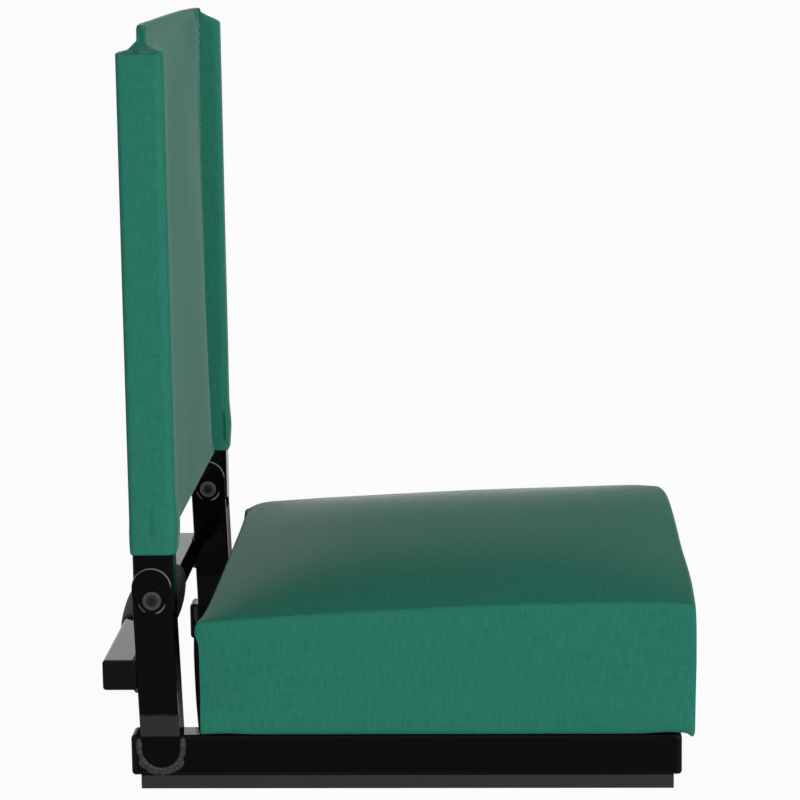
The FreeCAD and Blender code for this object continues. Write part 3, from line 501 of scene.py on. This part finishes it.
skin = shape_cushion(skin, flat_side)
cushion = new_piece("seat_cushion", skin, quads, "cushion_cloth")
cushion.data.materials.append(finishes["rear_painted_shade_cloth"])
sides = np.array([flat_side[q] for q in quads])
at_rear = (sides[:, :, 0].max(1) < LOW[0] + 0.0093) & (sides[:, :, 2].min(1) < HIGH[2] - 1e-6)
cushion.data.polygons.foreach_set("material_index", at_rear.astype(np.int32))
# how far each point is past the line where the painted shade on the back begins
below_top = HIGH[2] - SHADE_DROP - flat_side[:, 2]
on_side = np.abs(flat_side[:, 1]) > 0.9 * HIGH[1]
shade_start_x = SHADE_SIDE_X - 0.0046 * ease(1 - (below_top + SHADE_DROP) / 0.022)
into_shade = np.where(on_side, shade_start_x - skin[:, 0], np.minimum(below_top, LOW[0] + 0.004 - flat_side[:, 0]))
past_shade_line = cushion.data.attributes.new("past_shade_line", "FLOAT", "POINT")
past_shade_line.data.foreach_set("value", into_shade.astype(np.float32))
facing = np.argmin(sides.max(1) - sides.min(1), axis=1)
lay_cloth(cushion, np.stack([np.where((facing == 0)[:, None], sides[:, :, 1], sides[:, :, 0]),
                             np.where((facing == 2)[:, None], sides[:, :, 1], sides[:, :, 2])], 2))
print("cushion from", skin.min(0).round(4), "to", skin.max(0).round(4))

# %% [markdown]
# Cloth under pressure finds the last of the shape: Blender's Cloth blows the skin up from inside with no gravity, while
# the stapled underside and the folded edges are held. The points may move only a few millimetres, so that the cushion
# stays the size of its CAD solid. The result replaces the mesh, so no simulation is left on the piece. When the back is
# folded down, its sleeves press into the foam by a few millimetres.


# %% Fill the cushion
def fill_cushion(piece, held, most):
    group = piece.vertex_groups.new(name="held")
    group.add([int(i) for i in np.flatnonzero(held)], 1.0, "REPLACE")
    cloth_filling = piece.modifiers.new("filling", "CLOTH")
    settings = cloth_filling.settings
    settings.quality, settings.mass, settings.vertex_group_mass = 5, 0.3, "held"
    settings.tension_stiffness = settings.compression_stiffness = 12.0
    settings.bending_stiffness = 0.6
    settings.use_pressure, settings.uniform_pressure_force = True, 4.0
    settings.effector_weights.gravity = 0.0
    cloth_filling.point_cache.frame_end = 20
    for step in range(1, 21):
        scene.frame_set(step)
    filled = piece.evaluated_get(bpy.context.evaluated_depsgraph_get()).to_mesh()
    moved = np.empty(len(filled.vertices) * 3, np.float32)
    filled.vertices.foreach_get("co", moved)
    rest = np.empty_like(moved)
    piece.data.vertices.foreach_get("co", rest)
    shift = moved.reshape(-1, 3) - rest.reshape(-1, 3)
    size = np.linalg.norm(shift, axis=1, keepdims=True)
    shift *= most * np.tanh(size / most) / np.maximum(size, 1e-9)
    piece.modifiers.clear()
    piece.vertex_groups.clear()
    scene.frame_set(1)
    piece.data.vertices.foreach_set("co", (rest.reshape(-1, 3) + shift).ravel())
    piece.data.update()
    print("filling moved the cloth by up to", round(float(size.max()) * 1000, 1), "mm before the cap")


on_edge = sum(((flat_side[:, i] - LOW[i] < 0.003) | (HIGH[i] - flat_side[:, i] < 0.003)).astype(int) for i in range(3))
fill_cushion(cushion, (on_edge >= 2) | (flat_side[:, 2] < LOW[2] + 0.004), 0.0026)
finer = cushion.modifiers.new("finer", "SUBSURF")
finer.levels = finer.render_levels = 1
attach(cushion, "base")
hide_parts("seat_cover", "seat_foam")
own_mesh(cushion)

# %% [markdown]
# The back is one bag of cloth: a sleeve down each post, and a sling of two layers between them. Its section is the same
# from hem to shoulder, so it is made as a stack of closed outlines. Each outline has a front and a back half with the
# same number of points, which lets the ridge be closed with a row of quads. A Solidify modifier gives the thickness.

# %% Outline of the back's cloth
POST_X, SLING_X, SLING_HALF = -0.1767, -0.1795, 0.0021
OUTER, INNER, ROUND = 0.2112, 0.1858, 0.0036
FRONT, REAR, EASED = -0.1600, -0.1926, 0.0065
HEM, SHOULDER, RIDGE = 0.1768, 0.540, 0.557
STRIP_X, STRIP_HALF = -0.1772, 0.0026


def run(first, last, n):
    """n points from first towards last, without last."""
    return [tuple(np.array(first) + (np.array(last) - np.array(first)) * i / n) for i in range(n)]


def bend(centre, radius, first, last, n=5):
    return [(centre[0] + radius * math.cos(math.radians(first + (last - first) * i / n)),
             centre[1] + radius * math.sin(math.radians(first + (last - first) * i / n))) for i in range(n)]


def half_outline(way):
    """Half of the section in (y, x), from the middle of the near sleeve's side to the middle of the far one's; way is
    1 for the front half and -1 for the back half."""
    face, sling = (FRONT if way > 0 else REAR), SLING_X + way * SLING_HALF
    turn = EASED if way > 0 else ROUND
    near = run((-OUTER, POST_X), (-OUTER, face - way * turn), 7)
    near += bend((-OUTER + turn, face - way * turn), turn, 180, 180 - way * 90, 7)
    near += run((-OUTER + turn, face), (-INNER - ROUND, face), 6)
    near += bend((-INNER - ROUND, face - way * ROUND), ROUND, way * 90, 0)
    near += run((-INNER, face - way * ROUND), (-INNER, sling), 5)
    near += run((-INNER, sling), (-INNER + 0.024, sling), 12) + run((-INNER + 0.024, sling), (0, sling), 18)
    return np.array(near + [(0, sling)] + [(-y, x) for y, x in reversed(near)])


front, rear = half_outline(1), half_outline(-1)
outline = np.concatenate([front, rear[-2:0:-1]])
way = np.concatenate([np.ones(len(front)), -np.ones(len(rear) - 2)])
way[[0, len(front) - 1]] = 0
lengths = np.concatenate([[0], np.cumsum(np.linalg.norm(np.diff(np.vstack([outline, outline[:1]]), axis=0), axis=1))])
rows = np.concatenate([[HEM, 0.1771, 0.1776, 0.1783, 0.1792, 0.1805, 0.182], np.arange(0.184, 0.537, 0.0021),
                       [0.5378, 0.5386, 0.5392, 0.5397, 0.5402, 0.5407, 0.5412, 0.5418, 0.5425, 0.5434, 0.5445, 0.5458,
                        0.5472, 0.5488, 0.5505, 0.5522, 0.5538, 0.5551, 0.556, 0.5566, RIDGE]])
print("outline of", len(outline), "points,", round(lengths[-1], 3), "m round,", len(rows), "rows")

# %% [markdown]
# Sewn cloth is not a clean extrusion. It puckers along the seams beside the sleeves, most near the top, hangs in slow
# waves between the posts, is stitched flat at the hem, and above the posts it is gathered into the ridge. Each of these
# is a small shift of the outline at its own height; the sleeves only ever move outwards, off the posts.


# %% Shape the back's cloth
def wander(u, v, seed):
    return noise.noise(Vector((u, v, seed)))


def seam_bumps(z, seed):
    """Height of the gathers along a seam: rounded bumps about 7 mm apart, strongest at the top."""
    phase = 2 * math.pi * z / 0.0068 + 2.6 * wander(z * 50, seed, 2.0)
    strength = np.interp(z, (0.18, 0.36, 0.46, 0.53, 0.545), (0.0003, 0.0007, 0.0014, 0.0017, 0.0014))
    return strength * (0.5 + 0.5 * math.sin(phase)) * (0.8 + 0.6 * wander(z * 38, seed, 7.0))


def back_row(z):
    y, x = outline.T.copy()
    on_sling = np.abs(y) < INNER + 1e-6
    reach = np.clip(INNER - np.abs(y), 0, None)
    side = np.sign(y)
    middle = np.where(on_sling, 0, side * (OUTER + INNER) / 2)
    off = np.stack([y - middle, x - POST_X], 1)
    off /= np.maximum(np.linalg.norm(off, axis=1, keepdims=True), 1e-9)
    swell = np.array([0.0002 * max(0.0, wander(u * 22, z * 9, 1.0)) for u in lengths[:-1]])
    hem_roll = 0.0004 * ease(1 - abs(z - 0.189) / 0.014) - 0.0005 * ease(1 - (z - HEM) / 0.0016)
    flare = np.where(way > 0, 0.0012 * math.exp(-((z - 0.199) / 0.011) ** 2), 0)
    crease = 0.0045 * math.exp(-((z - 0.5401) / 0.0008) ** 2) - 0.001 * math.exp(-((z - 0.5416) / 0.0008) ** 2)
    crease = crease * ease((x - REAR - 0.001) / 0.002) * ease((FRONT - 0.0025 - x) / 0.002)
    crease = crease * (np.abs(y) > OUTER - 0.0045)
    push = np.where(on_sling, 0, swell + hem_roll + flare)
    y, x = y + push * off[:, 0] - side * crease, x + push * off[:, 1]
    seam_shift = np.interp(z, (0.17, 0.19, 0.30, 0.40), (0.0030, 0.0026, 0.0006, 0))
    belly = np.interp(z, (0.17, 0.19, 0.25, 0.33, 0.42, 0.5), (0.0064, 0.006, 0.0047, 0.003, 0.0013, 0))
    forward = seam_shift + (belly - seam_shift) * (1 - (y / INNER) ** 8)
    slack = np.array([wander(v * 7, z * 6, 5.0) for v in y]) * ease(reach / 0.05) * ease((SHOULDER - z) / 0.04)
    bumps = np.array([seam_bumps(z, 3.0 + s) for s in side])
    gathers = bumps * np.exp(-((reach - 0.007) / 0.010) ** 2) - 0.0005 * np.exp(-(reach / 0.0015) ** 2)
    full = np.interp(z, (0.43, 0.47, 0.515, 0.545), (0, 0.0008, 0.0021, 0.0024))
    full = full * np.exp(-((reach - 0.03) / 0.05) ** 2) * (1 - np.exp(-(reach / 0.007) ** 2))
    on_front = x + forward + np.maximum(slack, -0.2) * 0.0016 + gathers + full
    on_rear = x - 0.0012 * np.abs(slack) - gathers
    x = np.where(on_sling, np.where(way > 0, on_front, on_rear), x)
    pinch = ease(1 - (z - HEM) / 0.016) * ease(reach / 0.012)
    x = np.where(on_sling, x + (SLING_X + 0.0068 + way * 0.0013 - x) * pinch, x)
    height = np.full(len(y), z)
    if z > SHOULDER:
        rise = z - SHOULDER
        lid = np.interp(rise, (0, 0.0004, 0.0008, 0.0014, 0.003, 0.0043, 0.0072), (0, 0.1, 0.38, 0.62, 0.74, 0.82, 1))
        near_flap = np.interp(rise, (0, 0.0008, 0.0016, 0.003, 0.0062), (0, 0.05, 0.3, 0.6, 1))
        far_flap = np.interp(rise, (0, 0.002, 0.0053, 0.008, 0.013), (0, 0.05, 0.32, 0.62, 1))
        gather = np.where(way < 0, lid, np.where(side > 0, far_flap, near_flap))
        y = y + (np.clip(y, -0.188, 0.188) - y) * gather
        at_end = ease((np.abs(y) - 0.158) / 0.026) * ease(rise / 0.008)
        half = (SLING_HALF + (STRIP_HALF - SLING_HALF) * at_end) * np.interp(z, (0.555, RIDGE), (1, 0.7))
        centre = SLING_X + (STRIP_X - SLING_X) * at_end
        inward = np.where(on_sling, ease(reach / 0.015), 0)
        x = x + (centre + way * half - x) * (gather + (ease(rise / 0.014) - gather) * inward)
        tucked = (way == 0) * ease((rise - 0.005) / 0.002) * ease((0.0165 - rise) / 0.002)
        y, x = y - side * 0.003 * tucked, x + 0.0008 * tucked
        top_line = np.interp(y, (-0.188, -0.1, 0, 0.1, 0.188), (0.5586, 0.5576, 0.5567, 0.5553, 0.5532))
        height = SHOULDER + rise * (top_line - SHOULDER) / (RIDGE - SHOULDER)
    return np.stack([x, y, height], 1)


stack = np.array([back_row(z) for z in rows])
around = len(outline)
quads = [(r * around + i, r * around + (i + 1) % around, (r + 1) * around + (i + 1) % around, (r + 1) * around + i)
         for r in range(len(rows) - 1) for i in range(around)]
top = (len(rows) - 1) * around
paired = [top + i for i in range(len(front))], [top] + [top + around - i for i in range(1, len(front) - 1)] + \
    [top + len(front) - 1]
ridge = [(paired[0][i], paired[0][i + 1], paired[1][i + 1], paired[1][i]) for i in range(1, len(front) - 2)]
ridge += [(paired[0][0], paired[0][1], paired[1][1]), (paired[0][-2], paired[0][-1], paired[1][-2])]
back_cloth = new_piece("back_cloth", stack.reshape(-1, 3), [q[::-1] for q in quads + ridge], "green_cloth")
print("back cloth from", stack.min((0, 1)).round(4), "to", stack.max((0, 1)).round(4))

# %% [markdown]
# The weave goes round the bag in one length and up it in the other, so the UV map is girth and height. Faces beside the
# inner seams get a darker cloth without sheen, painted shade in the seam's hollow. The Solidify modifier then works
# inwards, so the outside stays where it is.

# %% Lay the weave on the back and give it its thickness
back_cloth.data.materials.append(finishes["seam_shade_cloth"])
by_seam = np.abs(np.abs(outline[:, 0]) - INNER + 0.00425) < 0.0043
by_seam = by_seam & (np.abs(outline[:, 1] - SLING_X) < SLING_HALF + 1e-6)
by_seam = by_seam & np.roll(by_seam, -1)
in_seam = np.concatenate([np.tile(by_seam, len(rows) - 1), np.zeros(len(ridge), bool)])
back_cloth.data.polygons.foreach_set("material_index", in_seam.astype(np.int32))
height_of = np.repeat(rows, around)
girth_of = np.tile(lengths[:-1], len(rows))
corners = np.array([v for q in quads for v in q[::-1]]).reshape(-1, 4)
u = girth_of[corners]
u = np.where((u.max(1) - u.min(1) > 0.3)[:, None] & (u < 0.3), u + lengths[-1], u)
top_corners = [v for q in ridge for v in q[::-1]]
lay_cloth(back_cloth, np.concatenate([np.stack([u, height_of[corners]], 2).reshape(-1, 2),
                                      np.stack([girth_of[top_corners], height_of[top_corners]], 1)]))
wall = back_cloth.modifiers.new("wall", "SOLIDIFY")
wall.thickness, wall.offset = 0.0006, -1.0
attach(back_cloth, "back")
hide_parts("back_cover")
print("cloth is", wall.thickness * 1000, "mm thick")

# %% [markdown]
# Stitches, staples and weld beads are one small shape repeated along a path. A Geometry Nodes tree does all three: it
# turns a path of edges into a curve, puts points on it at a spacing, and sets a stretched ball on each, turned along
# the path, with a size that varies by a seeded random value. The result is made a plain mesh before it rides on a body.

# %% A tree that repeats a small ball along a path
row_tree = bpy.data.node_groups.new("row_along_path", "GeometryNodeTree")
inputs = {"Path": "NodeSocketGeometry", "Spacing": "NodeSocketFloat", "Length": "NodeSocketFloat",
          "Thickness": "NodeSocketFloat", "Variation": "NodeSocketFloat", "Seed": "NodeSocketInt",
          "Finish": "NodeSocketMaterial"}
sockets = {name: row_tree.interface.new_socket(name, in_out="INPUT", socket_type=kind) for name, kind in inputs.items()}
row_tree.interface.new_socket("Row", in_out="OUTPUT", socket_type="NodeSocketGeometry")
start = Link(row_tree)
entry = row_tree.nodes.new("NodeGroupInput")
given = {name: Link(row_tree, entry.outputs[name]) for name in inputs}
path = start.node("GeometryNodeMeshToCurve", None, {0: given["Path"]})
spots = start.node("GeometryNodeResampleCurve", {"mode": "LENGTH"}, {"Curve": path, "Length": given["Spacing"]})
ball = start.node("GeometryNodeMeshUVSphere", None, {"Segments": 8, "Rings": 5, "Radius": 1.0})
heading = start.node("GeometryNodeInputTangent")
turned = start.node("FunctionNodeAlignRotationToVector", {"axis": "Z"}, {"Vector": heading})
chance = start.node("FunctionNodeRandomValue", {"data_type": "FLOAT"},
                    {2: 1 - given["Variation"], 3: 1 + given["Variation"], "Seed": given["Seed"]}, 1)
size = start.node("ShaderNodeCombineXYZ", None, {0: given["Thickness"] * chance, 1: given["Thickness"] * chance,
                                                 2: given["Length"] * chance})
placed = start.node("GeometryNodeInstanceOnPoints", None,
                    {"Points": spots, "Instance": ball, "Rotation": turned, "Scale": size})
plain = start.node("GeometryNodeRealizeInstances", None, {0: placed})
smooth = start.node("GeometryNodeSetShadeSmooth", None, {0: plain})
coated = start.node("GeometryNodeSetMaterial", None, {"Geometry": smooth, "Material": given["Finish"]})
row_tree.links.new(coated.socket, row_tree.nodes.new("NodeGroupOutput").inputs[0])


def make_row(name, paths, body, finish, slot, **values):
    """A mesh of small balls along each path, a list of points, riding on a body."""
    mesh = bpy.data.meshes.new(name)
    links, total = [], 0
    for points in paths:
        links += [(total + i, total + i + 1) for i in range(len(points) - 1)]
        total += len(points)
    mesh.from_pydata([tuple(p) for points in paths for p in points], links, [])
    piece = bpy.data.objects.new(name, mesh)
    scene.collection.objects.link(piece)
    repeat = piece.modifiers.new("repeat", "NODES")
    repeat.node_group = row_tree
    for key, value in dict(values, Finish=finishes[finish]).items():
        repeat[sockets[key].identifier] = value
    made = bpy.data.meshes.new_from_object(piece.evaluated_get(bpy.context.evaluated_depsgraph_get()))
    piece.modifiers.clear()
    piece.data = made
    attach(piece, body)
    print(name, "has", len(made.polygons), "faces")
    return piece


# %% [markdown]
# On the back, the seams run down the inside corner of each sleeve, front and back, and two rows of stitches go round
# above the hem. The path of each seam is read from the cloth's own points, so the thread lies in the cloth.

# %% Stitches on the back
last_seam = int(np.argmin(np.abs(rows - SHOULDER))) - 3
inner_corner = [i for i in range(around) if abs(abs(outline[i, 0]) - INNER) < 1e-6
                and abs(abs(outline[i, 1] - SLING_X) - SLING_HALF) < 1e-6]
seams = []
for i in inner_corner:
    lifted = stack[4:last_seam:2, i].copy()
    lifted[:, 0] += 0.0003 * way[i]
    lifted[:, 1] -= 0.0012 * np.sign(outline[i, 0])
    seams.append(lifted)
hems = []
for z in (0.1917, 0.2031):
    level = stack[int(np.argmin(np.abs(rows - z)))]
    hems.append(np.vstack([level, level[:1]]))
back_stitches = make_row("back_stitches", seams + hems, "back", "green_thread", "green_cloth",
                         Spacing=0.0034, Length=0.0014, Thickness=0.0004, Variation=0.08, Seed=4)

# %% [markdown]
# Under the cushion the cloth is pulled over the board and stapled in a row about 12 mm from its edge. Only someone who
# turns the seat over sees the staples.

# %% Staples under the cushion
inset = np.array((0.013, 0.013))
low, high = LOW[:2] + inset, HIGH[:2] - inset
ring = [(low[0], low[1]), (high[0], low[1]), (high[0], high[1]), (low[0], high[1]), (low[0], low[1])]
make_row("cover_staples", [[(x, y, 0.0405) for x, y in ring]], "base", "zinc_steel", "zinc_steel",
         Spacing=0.032, Length=0.0052, Thickness=0.0006, Variation=0.02, Seed=2)

# %% [markdown]
# The carry bar has a grip of soft foam rubber, pushed over it. It is a sleeve: fullest in the middle, a little thinner
# at its ends, with soft edges. A scaled cylinder would be too round for the square bar, so rings of a rounded square
# are stacked along the bar, and the last ring inside joins the first outside, which closes the sleeve.

# %% Foam grip
BAR_X, BAR_Z, BAR_WIDE, BAR_HIGH = -0.2031, 0.0870, 0.0125, 0.01125


def grip_ring(y, stand_out, n=44):
    """A ring round the bar at y: the bar's rounded square, standing out from it."""
    turn = np.linspace(0, 2 * np.pi, n, endpoint=False)
    wide, high = BAR_WIDE + stand_out, BAR_HIGH + stand_out
    squareness = 2 / (2.9 if stand_out > 0.001 else 6.0)
    x = BAR_X + wide * np.sign(np.cos(turn)) * np.abs(np.cos(turn)) ** squareness
    z = BAR_Z + high * np.sign(np.sin(turn)) * np.abs(np.sin(turn)) ** squareness
    return np.stack([x, np.full(n, y), z], 1)


GRIP_HALF, GRIP_EDGE = 0.0865, 0.0034
lip = [GRIP_HALF - GRIP_EDGE * (1 - math.sin(t)) for t in np.linspace(0, math.pi / 2, 6)]
along = np.concatenate([-np.array(lip[::-1]), np.linspace(-lip[0], lip[0], 26)[1:-1], lip])
full = 0.0077 - 0.0034 * (along / 0.075) ** 2
past = np.clip((np.abs(along) - lip[0]) / GRIP_EDGE, 0, 1)
rings = [grip_ring(y, max(0.0002, f * math.sqrt(1 - t * t))) for y, f, t in zip(along, full, past)]
rings += [grip_ring(GRIP_HALF - 0.001, -0.0001), grip_ring(0.001 - GRIP_HALF, -0.0001)]
n, count = len(rings[0]), len(rings)
faces = [(r * n + i, r * n + (i + 1) % n, (r + 1) % count * n + (i + 1) % n, (r + 1) % count * n + i)
         for r in range(count) for i in range(n)]
grip = new_piece("foam_grip", np.concatenate(rings), faces, "grip_foam")
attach(grip, "base")
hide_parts("handle_grip")
print("grip", round(2 * GRIP_HALF * 1000), "mm long, stands out", round(float(full.max()) * 1000, 1), "mm")

# %% [markdown]
# The base is welded. A bead is a chain of overlapping drops of metal, painted over with the rest: round the foot of
# each riser plate, along the carry bar and round the ends of the cross tubes. The beads are a paler grey than the
# paint, a painted highlight for the light that their rounded surface catches.


# %% Weld beads
def plate_foot(y, radius, lowest, n=16):
    """The path of the bead round the foot of a riser plate, on the rail's side."""
    centre_z = 0.031
    middle = PIVOT[0] + (PIVOT[2] - centre_z) * 0.03143
    arc = [(middle + radius * math.cos(t), y, max(lowest, centre_z + radius * math.sin(t)))
           for t in np.linspace(0, -math.pi, n)]
    return [(middle + radius, y, 0.0372)] + arc + [(middle - radius, y, 0.0372)]


welds = []
for side in (-1, 1):
    welds += [plate_foot(side * 0.2119, 0.0160, 0.0152), plate_foot(side * 0.1851, 0.0160, 0.0152)]
    welds += [plate_foot(side * 0.2111, 0.0185, 0.0126)[4:-4], plate_foot(side * 0.1859, 0.0185, 0.0126)[4:-4]]
    for z in (0.0985, 0.0754):
        welds.append([(-0.1907, side * 0.185, z), (-0.1907, side * 0.2105, z)])
    for low_x, high_x in ((-0.1015, -0.0815), (0.1385, 0.1585)):
        welds.append([(low_x, side * 0.1858, 0.0405), (low_x, side * 0.1858, 0.0205), (high_x, side * 0.1858, 0.0205),
                      (high_x, side * 0.1858, 0.0405), (low_x, side * 0.1858, 0.0405)])
make_row("weld_beads", welds, "base", "weld_painted_highlight", "gloss_black_paint",
         Spacing=0.0011, Length=0.0023, Thickness=0.0023, Variation=0.24, Seed=11)
